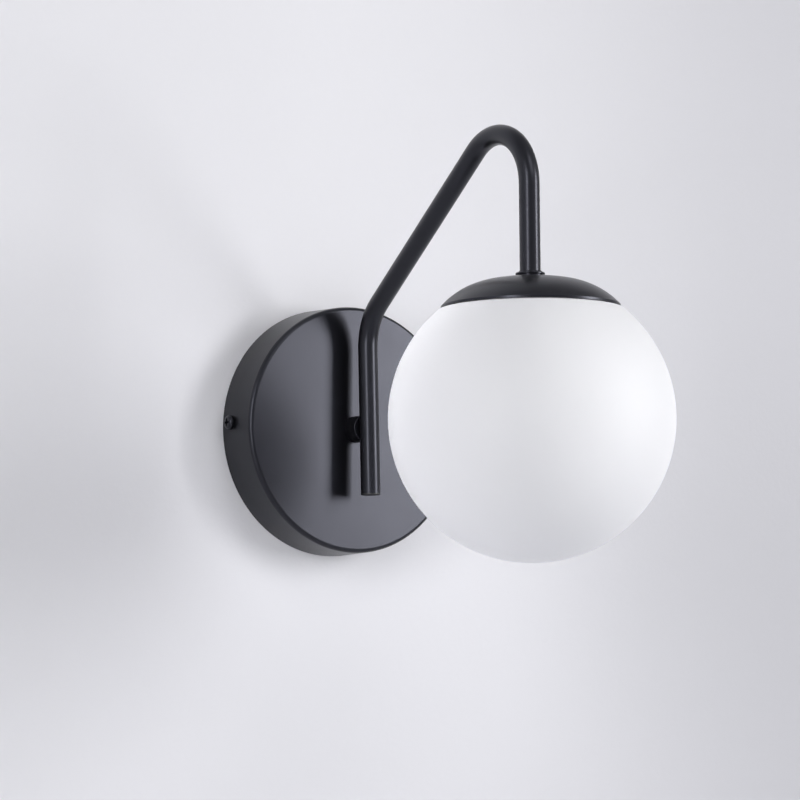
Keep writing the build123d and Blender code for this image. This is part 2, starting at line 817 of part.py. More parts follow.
with BuildPart() as lampholder_terminal_screws:
    screw_height = insulator_top + terminal_height / 2
    head_start = terminal_offset + terminal_width / 2 + seat_gap
    for side in (-1, 1):
        place = Plane((side * head_start, -globe_reach, screw_height), x_dir=(0, 1, 0), z_dir=(side, 0, 0))
        with BuildSketch(place):
            Circle(terminal_head_diameter / 2)
        extrude(amount=terminal_head_height)
        with BuildSketch(place):
            Circle(terminal_screw_diameter / 2 - slip_gap)
        extrude(amount=-terminal_width / 2 + lead_radius + slip_gap)
        with BuildSketch(place.offset(terminal_head_height)):
            Rectangle(terminal_head_diameter, clamp_slot_width)
        extrude(amount=-terminal_head_height / 2, mode=Mode.SUBTRACT)

# ---- the lamp ----
contact_radius = lamp_contact_diameter / 2
contact_under = lamp_tip - lamp_contact_height
with BuildPart() as lamp_contact:
    with BuildSketch(at_height(contact_under)):
        Circle(contact_radius)
    extrude(amount=lamp_contact_height)
    fillet(lamp_contact.edges().group_by(Axis.Z)[-1], lamp_contact_height / 2)

lamp_base_insulator = turned(
    [
        (0, lamp_base_top),
        (lamp_insulator_diameter / 2, lamp_base_top),
        (contact_radius, contact_under),
        (0, contact_under),
    ]
)

# The screw base's outside is a wave: crest and trough arcs of half a thread each, and a plain band of a
# half thread above and below them.
thread_crest = lamp_base_radius
thread_trough = lamp_base_radius - lamp_thread_depth
thread_middle = (thread_crest + thread_trough) / 2
half_thread = lamp_base_length / (2 * (lamp_thread_turns + 1))

with BuildPart() as lamp_screw_base:
    with BuildSketch(upright_section()):
        with BuildLine():
            wave_top = lamp_base_top - half_thread
            Polyline((lamp_insulator_diameter / 2, lamp_base_top), (thread_middle, wave_top))
            for i in range(2 * lamp_thread_turns):
                start = wave_top - i * half_thread
                bulge = thread_crest if i % 2 == 0 else thread_trough
                ThreePointArc(
                    (thread_middle, start),
                    (bulge, start - half_thread / 2),
                    (thread_middle, start - half_thread),
                )
            inner = thread_trough - lamp_base_wall
            Polyline(
                (thread_middle, lamp_base_under + half_thread),
                (thread_middle, lamp_base_under),
                (inner, lamp_base_under),
                (inner, wave_top - lamp_base_wall),
                (lamp_insulator_diameter / 2, lamp_base_top - lamp_base_wall),
                (lamp_insulator_diameter / 2, lamp_base_top),
            )
        make_face()
    revolve(axis=globe_axis)

split_radius = math.sqrt(lamp_radius**2 - lamp_split_rise**2)
split_angle = math.degrees(math.asin(lamp_split_rise / lamp_radius))

with BuildPart() as lamp_housing:
    with BuildSketch(upright_section()):
        with BuildLine():
            flank = TangentArc(
                (split_radius, lamp_split),
                (lamp_base_radius, lamp_base_under),
                tangent=(-lamp_split_rise, split_radius),
            )
            Polyline(flank @ 1, (0, lamp_base_under), (0, lamp_split), flank @ 0)
        make_face()
    revolve(axis=globe_axis)
    ends = lamp_housing.faces().filter_by(GeomType.PLANE)
    offset(amount=-lamp_wall, openings=list(ends))

with BuildPart() as lamp_diffuser:
    inner_angle = math.degrees(math.asin(lamp_split_rise / (lamp_radius - lamp_wall)))
    with BuildSketch(upright_section()):
        with BuildLine():
            middle = (0, lamp_centre)
            outside = CenterArc(middle, lamp_radius, -90, 90 + split_angle)
            inside = CenterArc(middle, lamp_radius - lamp_wall, -90, 90 + inner_angle)
            Line(outside @ 0, inside @ 0)
            Line(outside @ 1, inside @ 1)
        make_face()
    revolve(axis=globe_axis)

# ---- the globe: a closed ball with a flat shoulder and a short neck under the cap ----
with BuildPart() as globe_glass:
    inner_rise = shoulder_rise - glass_thickness
    outer_turn = math.degrees(math.asin(shoulder_rise / globe_radius))
    inner_turn = math.degrees(math.asin(inner_rise / globe_inner_radius))
    with BuildSketch(upright_section()) as glass_profile:
        with BuildLine():
            middle = (0, globe_centre_height)
            outside = CenterArc(middle, globe_radius, -90, 90 + outer_turn)
            inside = CenterArc(middle, globe_inner_radius, -90, 90 + inner_turn)
            Polyline(
                outside @ 1,
                (neck_radius, shoulder_height),
                (neck_radius, neck_top),
                (neck_inner_radius, neck_top),
                (neck_inner_radius, shoulder_height - glass_thickness),
                inside @ 1,
            )
            Line(outside @ 0, inside @ 0)
        make_face()
        round_corner(glass_profile, outside @ 1, shoulder_round)
        round_corner(glass_profile, inside @ 1, shoulder_round / 2)
        round_corner(glass_profile, (neck_radius, shoulder_height), neck_root_round)
        round_corner(glass_profile, (neck_inner_radius, shoulder_height - glass_thickness), neck_inside_round)
        round_corner(glass_profile, (neck_radius, neck_top), lip_round)
        round_corner(glass_profile, (neck_inner_radius, neck_top), lip_round)
    revolve(axis=globe_axis)

gasket_top = neck_top + gasket_thickness
gasket_radius = neck_radius + gasket_overhang
globe_gasket = turned(
    [
        (neck_inner_radius, neck_top),
        (neck_inner_radius, gasket_top),
        (gasket_radius, gasket_top),
        (gasket_radius, neck_top - gasket_skirt),
        (neck_radius + seat_gap, neck_top - gasket_skirt),
        (neck_radius + seat_gap, neck_top),
    ]
)

# ---- terminal block on the bracket's tab ----
with BuildPart() as terminal_block:
    with BuildSketch(at_depth(strap_thickness, z=block_middle)) as block_outline:
        Rectangle(block_width, block_height)
        fillet(block_outline.vertices(), block_corner_radius)
    extrude(amount=block_depth)
    with BuildSketch(at_depth(block_front, z=block_middle)):
        with GridLocations(way_pitch, 0, way_count - 1, 1):
            Rectangle(block_groove, block_height)
    extrude(amount=-block_groove_depth, mode=Mode.SUBTRACT)
    with BuildSketch(at_height(block_foot_height, barrel_depth)):
        with GridLocations(way_pitch, 0, way_count, 1):
            Circle(barrel_radius + seat_gap)
    extrude(amount=block_height, mode=Mode.SUBTRACT)
    with BuildSketch(at_depth(block_front, z=block_middle)):
        with GridLocations(way_pitch, 2 * clamp_screw_offset, way_count, 2):
            Circle(clamp_head_diameter / 2 + slip_gap)
    extrude(amount=barrel_depth - block_front, mode=Mode.SUBTRACT)
    with BuildSketch(at_depth(block_front, x=block_screw_offset, z=block_middle)):
        Circle(m3_head_diameter / 2 + slip_gap)
    extrude(amount=-block_counterbore, mode=Mode.SUBTRACT)
    with BuildSketch(at_depth(block_front, x=block_screw_offset, z=block_middle)):
        Circle(m3_radius + slip_gap)
    extrude(amount=-block_depth, mode=Mode.SUBTRACT)

with BuildPart() as terminal_barrels:
    with BuildSketch(at_height(barrel_foot, barrel_depth)):
        with GridLocations(way_pitch, 0, way_count, 1):
            Circle(barrel_radius)
    extrude(amount=barrel_length)
    for end, way in ((barrel_foot, 1), (barrel_foot + barrel_length, -1)):
        with BuildSketch(at_height(end, barrel_depth)):
            with GridLocations(way_pitch, 0, way_count, 1):
                Circle(barrel_bore_radius)
        extrude(amount=way * barrel_bore_depth, mode=Mode.SUBTRACT)
    with BuildSketch(at_depth(barrel_depth, z=block_middle)):
        with GridLocations(way_pitch, 2 * clamp_screw_offset, way_count, 2):
            Circle(clamp_screw_diameter / 2 + slip_gap)
    extrude(amount=barrel_radius, mode=Mode.SUBTRACT)

with BuildPart() as terminal_clamp_screws:
    screw_tip = barrel_depth + barrel_bore_radius
    head_under = barrel_depth + barrel_radius + clamp_head_gap
    head_top = head_under + clamp_head_height
    grid = (way_pitch, 2 * clamp_screw_offset, way_count, 2)
    with BuildSketch(at_depth(screw_tip, z=block_middle)):
        with GridLocations(*grid):
            Circle(clamp_screw_diameter / 2)
    extrude(amount=head_under - screw_tip)
    with BuildSketch(at_depth(head_under, z=block_middle)):
        with GridLocations(*grid):
            Circle(clamp_head_diameter / 2)
    extrude(amount=clamp_head_height)
    with BuildSketch(at_depth(head_top, z=block_middle)):
        with GridLocations(*grid):
            Rectangle(clamp_head_diameter, clamp_slot_width)
    extrude(amount=-clamp_head_height / 2, mode=Mode.SUBTRACT)

block_screw_seat = block_front - block_counterbore
terminal_block_screw = pan_screws(
    [at_depth(block_screw_seat + seat_gap, x=block_screw_offset, z=block_middle)],
    m3_radius,
    m3_head_diameter,
    m3_head_height,
    block_screw_seat,
)

# ---- earth connection on the strap ----
with BuildPart() as earth_ring_tag:
    with BuildSketch(at_depth(strap_thickness, x=-earth_screw_offset)):
        Circle(tag_ring_diameter / 2)
        neck_end = tag_ring_diameter / 2 + tag_neck_length
        with Locations((neck_end / 2, 0)):
            Rectangle(neck_end, tag_barrel_diameter)
    extrude(amount=tag_thickness)
    tag_axis_depth = strap_thickness + tag_barrel_radius
    with BuildSketch(Plane((tag_barrel_end, -tag_axis_depth, 0), z_dir=(-1, 0, 0))):
        Circle(tag_barrel_radius)
    extrude(amount=tag_barrel_length)
    with BuildSketch(Plane((tag_barrel_end, -tag_axis_depth, 0), z_dir=(-1, 0, 0))):
        Circle(lead_radius + seat_gap)
    extrude(amount=tag_barrel_length - tag_thickness, mode=Mode.SUBTRACT)
    with BuildSketch(at_depth(strap_thickness, x=-earth_screw_offset)):
        Circle(m4_radius + slip_gap)
    extrude(amount=tag_thickness, mode=Mode.SUBTRACT)

earth_washer = flat_ring(
    at_depth(earth_washer_depth, x=-earth_screw_offset),
    m4_head_diameter / 2,
    m4_radius + slip_gap,
    earth_washer_thickness,
)
earth_screw_seat = earth_washer_depth + earth_washer_thickness
earth_screw = pan_screws(
    [at_depth(earth_screw_seat + seat_gap, x=-earth_screw_offset)],
    m4_radius,
    m4_head_diameter,
    m4_head_height,
    earth_screw_seat,
)

# ---- leads: the fixed ones end where those of the arm begin, just behind the hollow shank ----
lead_end = barrel_foot + lead_entry
lead_turn_depth = barrel_depth + lead_radius
lead_straight = barrel_foot - 2 * lead_entry

live_lead_canopy = lead(
    [
        (-lead_offset, -lead_joint_depth, 0),
        (-lead_offset, -lead_turn_depth, 0),
        (0, -barrel_depth, lead_straight),
        (0, -barrel_depth, lead_end),
    ],
    [elbow_radius, 2 * elbow_radius],
)
neutral_lead_canopy = lead(
    [
        (lead_offset, -lead_joint_depth, 0),
        (lead_offset, -lead_turn_depth, 0),
        (way_offsets[-1], -barrel_depth, lead_straight),
        (way_offsets[-1], -barrel_depth, lead_end),
    ],
    [elbow_radius, 2 * elbow_radius],
)
earth_lead = lead(
    [
        (tag_barrel_end - tag_barrel_length / 2, -tag_axis_depth, 0),
        (way_offsets[0], -tag_axis_depth, 0),
        (way_offsets[0], -barrel_depth, lead_straight),
        (way_offsets[0], -barrel_depth, lead_end),
    ],
    [earth_elbow_radius, 2 * elbow_radius],
)


def arm_lead(side):
    """Lead from behind the shank, through the swivel and the tube, to a terminal of the lampholder."""
    x = side * lead_offset
    terminal_x = side * terminal_offset
    return lead(
        [
            (x, -lead_joint_depth, 0),
            (x, -arm_standoff, 0),
            (x, -knee_depth, lower_bend_height),
            (x, -globe_reach, upper_bend_height),
            (x, -globe_reach, stem_end - lead_diameter),
            (terminal_x, -globe_reach, terminal_top + lead_diameter / 2),
            (terminal_x, -globe_reach, terminal_top - terminal_wire_depth),
        ],
        [elbow_radius, bend_radius, bend_radius, lead_diameter, lead_diameter],
    )


live_lead_arm = arm_lead(-1)
neutral_lead_arm = arm_lead(1)

# ---- write each piece ----
pieces = {
    "canopy": canopy,
    "wall_bracket": wall_bracket,
    "canopy_side_screws": canopy_side_screws,
    "boss_collar": boss_collar,
    "friction_washer": friction_washer,
    "terminal_block": terminal_block,
    "terminal_barrels": terminal_barrels,
    "terminal_clamp_screws": terminal_clamp_screws,
    "terminal_block_screw": terminal_block_screw,
    "earth_screw": earth_screw,
    "earth_washer": earth_washer,
    "earth_ring_tag": earth_ring_tag,
    "earth_lead": earth_lead,
    "live_lead_canopy": live_lead_canopy,
    "neutral_lead_canopy": neutral_lead_canopy,
    "swivel_neck": swivel_neck,
    "swivel_washer": swivel_washer,
    "swivel_disc_spring": swivel_disc_spring,
    "swivel_nut": swivel_nut,
    "arm_tube": arm_tube,
    "arm_end_plug": arm_end_plug,
    "live_lead_arm": live_lead_arm,
    "neutral_lead_arm": neutral_lead_arm,
    "cap_ring": cap_ring,
    "cap": cap,
    "clip_spider": clip_spider,
    "spring_clips": spring_clips,
    "clip_rivets": clip_rivets,
    "cap_tooth_washer": cap_tooth_washer,
    "cap_nut": cap_nut,
    "lampholder_cap": lampholder_cap,
    "lampholder_skirt": lampholder_skirt,
    "lampholder_insulator": lampholder_insulator,
    "lampholder_shell": lampholder_shell,
    "lampholder_contact": lampholder_contact,
    "lampholder_terminals": lampholder_terminals,
    "lampholder_terminal_screws": lampholder_terminal_screws,
    "globe_glass": globe_glass,
    "globe_gasket": globe_gasket,
    "lamp_contact": lamp_contact,
    "lamp_base_insulator": lamp_base_insulator,
    "lamp_screw_base": lamp_screw_base,
    "lamp_housing": lamp_housing,
    "lamp_diffuser": lamp_diffuser,
}

os.makedirs("parts", exist_ok=True)
for name, piece in pieces.items():
    piece.part.label = name
    export_step(piece.part, f"parts/{name}.step")
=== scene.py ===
# %% [markdown]
# # A globe wall light, dressed for its picture
#
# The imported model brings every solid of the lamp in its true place: the wall is the plane y = 0, the lamp
# stands out towards -Y and +Z is up, all in metres. What is left to do here is what a camera sees: the
# paint's fine skin, the etched opal of the globe, plated steel, brass and plastic, the thread rolled into the
# bulb's base, and the light that shows them.

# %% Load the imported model
import bpy
import json
import math
import numpy as np
from mathutils import Matrix, Vector


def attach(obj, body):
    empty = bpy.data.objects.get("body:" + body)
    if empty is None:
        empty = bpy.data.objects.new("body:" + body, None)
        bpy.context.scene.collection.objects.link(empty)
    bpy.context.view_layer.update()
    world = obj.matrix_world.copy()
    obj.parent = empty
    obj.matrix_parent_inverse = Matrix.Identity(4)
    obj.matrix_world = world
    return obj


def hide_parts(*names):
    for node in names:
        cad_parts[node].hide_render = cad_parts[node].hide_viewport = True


MM = 0.001

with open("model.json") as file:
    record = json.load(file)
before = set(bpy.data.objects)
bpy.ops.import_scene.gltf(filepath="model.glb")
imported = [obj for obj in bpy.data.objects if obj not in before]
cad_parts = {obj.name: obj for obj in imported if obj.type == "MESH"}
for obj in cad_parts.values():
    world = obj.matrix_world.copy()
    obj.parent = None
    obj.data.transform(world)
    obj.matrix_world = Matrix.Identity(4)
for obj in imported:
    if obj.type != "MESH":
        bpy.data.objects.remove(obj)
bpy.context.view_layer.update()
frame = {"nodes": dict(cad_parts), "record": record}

# %% [markdown]
# ## Shader sums written as sums
#
# A finish is mostly small arithmetic: noise times a little, added to a roughness. Clicking Math nodes
# together works, but it hides the sum. Here a link stands for one output socket, and adding or multiplying
# links adds the Math node that does it. Any other node comes from one method, `node`.

# %% A link and a finish
class Link:
    """One output of a shader node; sums, differences and products of links are Math nodes."""

    def __init__(self, finish, socket):
        self.finish = finish
        self.socket = socket

    def maths(self, operation, first, second):
        return self.finish.node("ShaderNodeMath", {"operation": operation}, {0: first, 1: second})

    def either(self, other):
        """The larger of two: for two links that are 0 or 1, whether one of them is 1."""
        return self.maths("MAXIMUM", self, other)

    def __add__(self, other):
        return self.maths("ADD", self, other)

    def __radd__(self, other):
        return self.maths("ADD", other, self)

    def __sub__(self, other):
        return self.maths("SUBTRACT", self, other)

    def __mul__(self, other):
        return self.maths("MULTIPLY", self, other)

    def __rmul__(self, other):
        return self.maths("MULTIPLY", other, self)


class Finish:
    """A material with one Principled shader, whose other nodes are added by name."""

    def __init__(self, name, **uniform):
        self.material = bpy.data.materials.new(name)
        self.material.use_nodes = True
        self.tree = self.material.node_tree
        self.tree.nodes.clear()
        self.output = self.tree.nodes.new("ShaderNodeOutputMaterial")
        self.shader = self.tree.nodes.new("ShaderNodeBsdfPrincipled")
        self.tree.links.new(self.shader.outputs[0], self.output.inputs["Surface"])
        for socket, value in uniform.items():
            self.set(socket.replace("_", " "), value)

    def put(self, socket, value):
        """Gives an input socket a link, a colour of three parts, a vector or a number."""
        if isinstance(value, Link):
            self.tree.links.new(value.socket, socket)
        elif socket.type == "RGBA":
            socket.default_value = (*value, 1.0)
        else:
            socket.default_value = value

    def set(self, name, value):
        self.put(self.shader.inputs[name], value)

    def node(self, kind, settings=None, sockets=None, output=0):
        """Adds a node: its settings first, then the values or links of its sockets."""
        made = self.tree.nodes.new(kind)
        for key, value in (settings or {}).items():
            setattr(made, key, value)
        for key, value in (sockets or {}).items():
            self.put(made.inputs[key], value)
        return Link(self, made.outputs[output])

    def place(self):
        """Object coordinates: metres in the lamp's own frame."""
        return self.node("ShaderNodeTexCoord", output="Object")

    def part(self, vector, axis):
        """One of a vector's three parts, by its letter."""
        return self.node("ShaderNodeSeparateXYZ", None, {0: vector}, axis)

    def noise(self, grain, detail):
        """Cloudy noise, 0 to 1, whose patches are about a grain, in metres, across."""
        sockets = {"Vector": self.place(), "Scale": 1.0 / grain, "Detail": detail}
        return self.node("ShaderNodeTexNoise", None, sockets, "Fac")

    def mix(self, factor, first, second, blend="MIX"):
        """The first colour, mixed or multiplied with the second as far as a factor says. Of a Mix node's many
        sockets, 6 and 7 are its colours and output 2 is the mixed one."""
        settings = {"data_type": "RGBA", "blend_type": blend, "clamp_factor": True}
        return self.node("ShaderNodeMix", settings, {0: factor, 6: first, 7: second}, 2)

    def step(self, value, low, high):
        """0 below low, 1 above high, and a smooth rise between."""
        sockets = {"Value": value, "From Min": low, "From Max": high}
        return self.node("ShaderNodeMapRange", {"interpolation_type": "SMOOTHSTEP"}, sockets)

    def bump(self, height, depth):
        """Lets a height, 0 to 1, tilt the surface as if it were that depth in metres."""
        sockets = {"Strength": 1.0, "Distance": depth, "Height": height}
        self.set("Normal", self.node("ShaderNodeBump", None, sockets, "Normal"))


def sway(base, *swings):
    """A base number that noises sway: for each noise and its swing, half the swing up and half down."""
    for noise, swing in swings:
        base = base + swing * (noise - 0.5)
    return base


FINE_BUMP = 0.000006  # metres, for skins that are almost smooth
print("shader helpers ready")

# %% [markdown]
# ## Black satin paint
#
# The canopy, boss, tube, ring and cap are steel with a baked powder coat. It isn't pure black: it is a very
# dark grey with a slightly blue gloss, broken by a fine orange peel, ripples about a millimetre across and
# only microns deep. A darker colour alone would look like a hole, so roughness and bump carry the look. The
# black screws have the same coat, a little glossier.

# %% Powder coat
GLOSS_TINT = (0.82, 0.835, 1.0)
GLOSS_LEVEL = 0.44
CLOUD, RIPPLE, SPECK = 0.022, 0.0011, 0.00045  # sizes of the patches, in metres


def powder_coat(name, shade, roughness, peel):
    """Dark paint: two sizes of ripple for the bump, slow clouds for the gloss, faint specks for colour."""
    paint = Finish(name, IOR=1.5, Specular_Tint=GLOSS_TINT, Specular_IOR_Level=GLOSS_LEVEL)
    clouds = paint.noise(CLOUD, 2.0)
    ripple = paint.noise(RIPPLE, 2.0)
    specks = paint.noise(SPECK, 2.0)
    grains = paint.step(specks, 0.62, 0.78)
    lighter = tuple(2.0 * c + 0.001 for c in shade)
    paint.set("Base Color", paint.mix(grains * 0.6 + clouds * 0.25, shade, lighter))
    paint.set("Roughness", sway(roughness, (clouds, 0.06), (ripple, 0.08)))
    paint.bump(ripple * 0.75 + specks * 0.25, peel)
    return paint


finishes = {
    "black_paint": powder_coat("black_paint", (0.0032, 0.0032, 0.0042), 0.31, 0.000005),
    "black_screw": powder_coat("black_screw", (0.004, 0.004, 0.005), 0.24, 0.000008),
}
print("painted:", list(finishes))

# %% [markdown]
# ## Etched opal glass
#
# The globe is white glass, blown and then dipped so that its skin is silky rather than shiny. Light goes a
# little way into it and comes out beside where it went in, which flattens every shade on the ball. Some
# subsurface scattering does that; plain white paint would turn from light to dark too fast. The photograph's
# ball is flatter still, so the glass also glows by a few hundredths: painted light that lifts its shaded
# side.

# %% Opal
# painted light: a faint glow of the glass's own that lifts the ball's shaded side
PAINTED_LIGHT_COLOUR, PAINTED_LIGHT_GLOW = (0.93, 0.93, 1.0), 0.06

opal = Finish("opal_glass", IOR=1.5, Subsurface_Weight=0.3, Subsurface_Scale=0.008)
opal.set("Subsurface Radius", (1.0, 1.0, 1.0))
swirl = opal.noise(0.05, 3.0)
silk = opal.noise(0.0006, 2.0)
opal.set("Base Color", opal.mix(swirl, (0.925, 0.924, 0.962), (0.945, 0.944, 0.978)))
opal.set("Specular IOR Level", 0.25)
opal.set("Roughness", sway(0.52, (swirl, 0.05), (silk, 0.06)))
# the painted light: the glass glows a little, so its shaded side looks lighter
opal.set("Emission Color", PAINTED_LIGHT_COLOUR)
opal.set("Emission Strength", PAINTED_LIGHT_GLOW)
opal.bump(silk, FINE_BUMP)
finishes["opal_glass"] = opal
print("opal glows by", PAINTED_LIGHT_GLOW)

# %% [markdown]
# ## Metals that show only when something is taken off
#
# Zinc plate has soft crystal clouds, and so, more faintly, have the other metals here. One recipe makes all
# five: a colour that drifts in clouds, a grain for the roughness and a shallow bump. The fine lines of rolled
# steel and the rings that a tool leaves on brass are left out.

# %% Plated and turned metals
def metal(name, dark, light, roughness, patch, grain):
    """Metal: slow clouds shift its colour, a finer grain shifts its gloss and tilts it slightly."""
    plate = Finish(name, Metallic=1.0)
    clouds = plate.noise(patch, 3.0)
    fine = plate.noise(grain, 3.0)
    plate.set("Base Color", plate.mix(plate.step(clouds, 0.3, 0.7), dark, light))
    plate.set("Roughness", sway(roughness, (clouds, 0.12), (fine, 0.16)))
    plate.bump(fine, FINE_BUMP)
    return plate


METALS = {  # dark and light shade, roughness, size of the clouds and of the grain
    "zinc_steel": ((0.55, 0.56, 0.57), (0.64, 0.65, 0.65), 0.30, 0.0025, 0.0007),
    "spring_steel": ((0.24, 0.25, 0.28), (0.36, 0.36, 0.38), 0.28, 0.006, 0.0004),
    "brass": ((0.60, 0.42, 0.17), (0.74, 0.55, 0.26), 0.24, 0.005, 0.0005),
    "tinned_copper": ((0.62, 0.61, 0.59), (0.76, 0.75, 0.73), 0.26, 0.003, 0.0004),
    "nickel_plate": ((0.60, 0.58, 0.55), (0.72, 0.70, 0.67), 0.18, 0.008, 0.0006),
}
finishes.update((name, metal(name, *numbers)) for name, numbers in METALS.items())
print("metals:", list(METALS))

# %% [markdown]
# ## Plastics and rubber
#
# Moulded plastic takes the skin of its mould: a spark-eroded grain on the matt ones, almost none on the
# glossy ones. The colour stays nearly even, and the grain shows in the gloss.

# %% Moulded plastics
PLASTIC_IOR = 1.48


def moulded(name, shade, roughness, grain, depth):
    """Plastic: an even colour with faint flow marks, and the mould's grain in its gloss and bump."""
    skin = Finish(name, IOR=PLASTIC_IOR)
    flow = skin.noise(0.015, 2.0)
    pits = skin.noise(grain, 2.0)
    deeper = tuple(0.88 * c for c in shade)
    skin.set("Base Color", skin.mix(flow, deeper, shade))
    skin.set("Roughness", sway(roughness, (pits, 0.10), (flow, 0.05)))
    skin.bump(pits, depth)
    return skin


PLASTICS = {  # shade, roughness, size of the mould's grain, its depth
    "black_nylon": ((0.018, 0.018, 0.019), 0.42, 0.0005, 0.00001),
    "block_nylon": ((0.80, 0.78, 0.71), 0.42, 0.0004, 0.00001),
    "holder_plastic": ((0.016, 0.016, 0.016), 0.22, 0.0009, 0.000006),
    "holder_insulator": ((0.80, 0.78, 0.72), 0.16, 0.0012, 0.000008),
    "lamp_plastic": ((0.82, 0.82, 0.81), 0.30, 0.0008, 0.000006),
    "lamp_diffuser": ((0.90, 0.90, 0.87), 0.45, 0.0006, 0.000008),
    "lamp_glass_black": ((0.03, 0.025, 0.035), 0.10, 0.0015, 0.000006),
    "silicone": ((0.76, 0.76, 0.73), 0.55, 0.0007, 0.00001),
    "lead_brown": ((0.17, 0.062, 0.025), 0.36, 0.0008, 0.000006),
    "lead_blue": ((0.03, 0.13, 0.42), 0.36, 0.0008, 0.000006),
    "lead_green_yellow": ((0.55, 0.50, 0.03), 0.36, 0.0008, 0.000006),
}
finishes.update((name, moulded(name, *numbers)) for name, numbers in PLASTICS.items())
print("plastics:", list(PLASTICS))

# %% [markdown]
# ## Put each finish on its solid
#
# The record names a finish for every solid, so one loop dresses the whole lamp.

# %% Dress the solids
slots = {part["node"]: part["material_slot"] for part in frame["record"]["subparts"]}
for name, solid in frame["nodes"].items():
    solid.data.materials.clear()
    solid.data.materials.append(finishes[slots[name]].material)
print("finishes:", len(finishes))

# %% [markdown]
# ## Surfaces from two parameters
#
# The pieces that are made here are all grids: rings of points carried along a line. The whole grid is worked
# out at once as a numpy array, and one helper turns it into a mesh, with a closed seam, closed ends and a
# UV map in which U runs along the piece and V once round it. Blender's own curves could carry a circle too,
# but they can't cut a thread into it. Which way the faces point is settled by the grid's signed volume.

# %% From a grid to a mesh
UV_NAME = "along_round"


def grid_mesh(name, rings, loop=False):
    """rings[i, j] is point j of ring i, and each ring closes on itself. With loop, the last ring joins the
    first; without it, a flat face closes each end. Signed volume = sum of a . (b x c) over the triangles / 6,
    and where it is negative, every face is turned over."""
    rows, around = rings.shape[:2]
    spans = rows if loop else rows - 1
    i, j = np.meshgrid(np.arange(spans), np.arange(around), indexing="ij")
    ahead, beside = (i + 1) % rows, (j + 1) % around
    quads = np.stack([i * around + j, i * around + beside, ahead * around + beside, ahead * around + j], -1)
    quads = quads.reshape(-1, 4)
    u = np.stack([i, i, i + 1, i + 1], -1).reshape(-1, 4) / spans
    v = np.stack([j, j + 1, j + 1, j], -1).reshape(-1, 4) / around
    first = np.arange(around)
    ends = [] if loop else [first[::-1], first + (rows - 1) * around]

    corners = rings.reshape(-1, 3)
    a, b, c, d = (corners[quads[:, k]] - corners.mean(axis=0) for k in range(4))
    volume = (np.sum(a * np.cross(b, c)) + np.sum(a * np.cross(c, d))) / 6
    if volume < 0:
        quads, u, v = quads[:, ::-1], u[:, ::-1], v[:, ::-1]
        ends = [end[::-1] for end in ends]

    mesh = bpy.data.meshes.new(name)
    mesh.from_pydata(corners.tolist(), [], quads.tolist() + [end.tolist() for end in ends])
    mesh.polygons.foreach_set("use_smooth", [True] * len(quads) + [False] * len(ends))
    flat = np.zeros((len(mesh.loops), 2), dtype=np.float32)
    flat[: quads.size] = np.stack([u.ravel(), v.ravel()], -1)
    mesh.uv_layers.new(name=UV_NAME).data.foreach_set("uv", flat.ravel())
    return mesh


def into_scene(name, data):
    """A new object that shows a mesh, a camera or a lamp, linked into the scene."""
    made = bpy.data.objects.new(name, data)
    bpy.context.scene.collection.objects.link(made)
    return made


def add_piece(name, mesh, slot, body, node):
    """Puts a mesh into the scene in place of a node, with its finish and the body that it moves with."""
    made = into_scene(name, mesh)
    mesh.materials.append(finishes[slot].material)
    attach(made, body)
    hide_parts(node)
    print(name, "faces:", len(mesh.polygons))


print("grid helpers ready")

# %% [markdown]
# ## Insulated wires in the canopy
#
# Three short wires join the terminal block: brown and blue from the swivel, green and yellow from the earth
# tag. A real wire has no corners, so each follows one smooth quadratic B-spline through its route. The earth
# wire's yellow stripe winds slowly round the green, which the UV map makes easy: a stripe is a band of
# V, and adding some U to V winds it. The finish with the stripe takes the plain one's place, which the
# solid under the wire keeps.

# %% Wires
WIRE_RADIUS = 0.95 * MM
WIRE_RINGS = 90


def spline(points, count):
    """Quadratic B-spline held at both ends: each span blends a start, a knee and an end by the squares of its
    parameter, (1 - f)^2, 2 f (1 - f) and f^2. Spans meet halfway between two knees."""
    p = np.asarray(points, dtype=float)
    middle = (p[1:-2] + p[2:-1]) / 2
    starts = np.concatenate([p[:1], middle])
    stops = np.concatenate([middle, p[-1:]])
    knees = p[1:-1]
    t = np.linspace(0, len(knees), count)
    span = np.minimum(t.astype(int), len(knees) - 1)
    f = (t - span)[:, None]
    return (1 - f) ** 2 * starts[span] + 2 * f * (1 - f) * knees[span] + f**2 * stops[span]


def round_wire(line, radius, side, around=20):
    """Circle of a radius carried along a line, each circle square to the line's own direction. The side only
    says where on the circle its points start."""
    run = np.gradient(line, axis=0)
    run /= np.linalg.norm(run, axis=1, keepdims=True)
    first = np.cross(run, side)
    first /= np.linalg.norm(first, axis=1, keepdims=True)
    second = np.cross(run, first)
    turn = np.linspace(0, 2 * np.pi, around, endpoint=False)[None, :, None]
    return line[:, None] + radius * (np.cos(turn) * first[:, None] + np.sin(turn) * second[:, None])


def striped_wire(name, green, yellow, turns):
    """Two-colour insulation: a yellow band about a third of the way round, wound by some turns."""
    skin = Finish(name, IOR=PLASTIC_IOR)
    uv = skin.node("ShaderNodeUVMap", {"uv_map": UV_NAME})
    along, round_it = skin.part(uv, "X"), skin.part(uv, "Y")
    wound = skin.node("ShaderNodeMath", {"operation": "PINGPONG"}, {0: round_it + turns * along, 1: 0.5})
    pits = skin.noise(0.0008, 2.0)
    skin.set("Base Color", skin.mix(skin.step(wound, 0.30, 0.34), green, yellow))
    skin.set("Roughness", sway(0.36, (pits, 0.10)))
    skin.bump(pits, FINE_BUMP)
    return skin


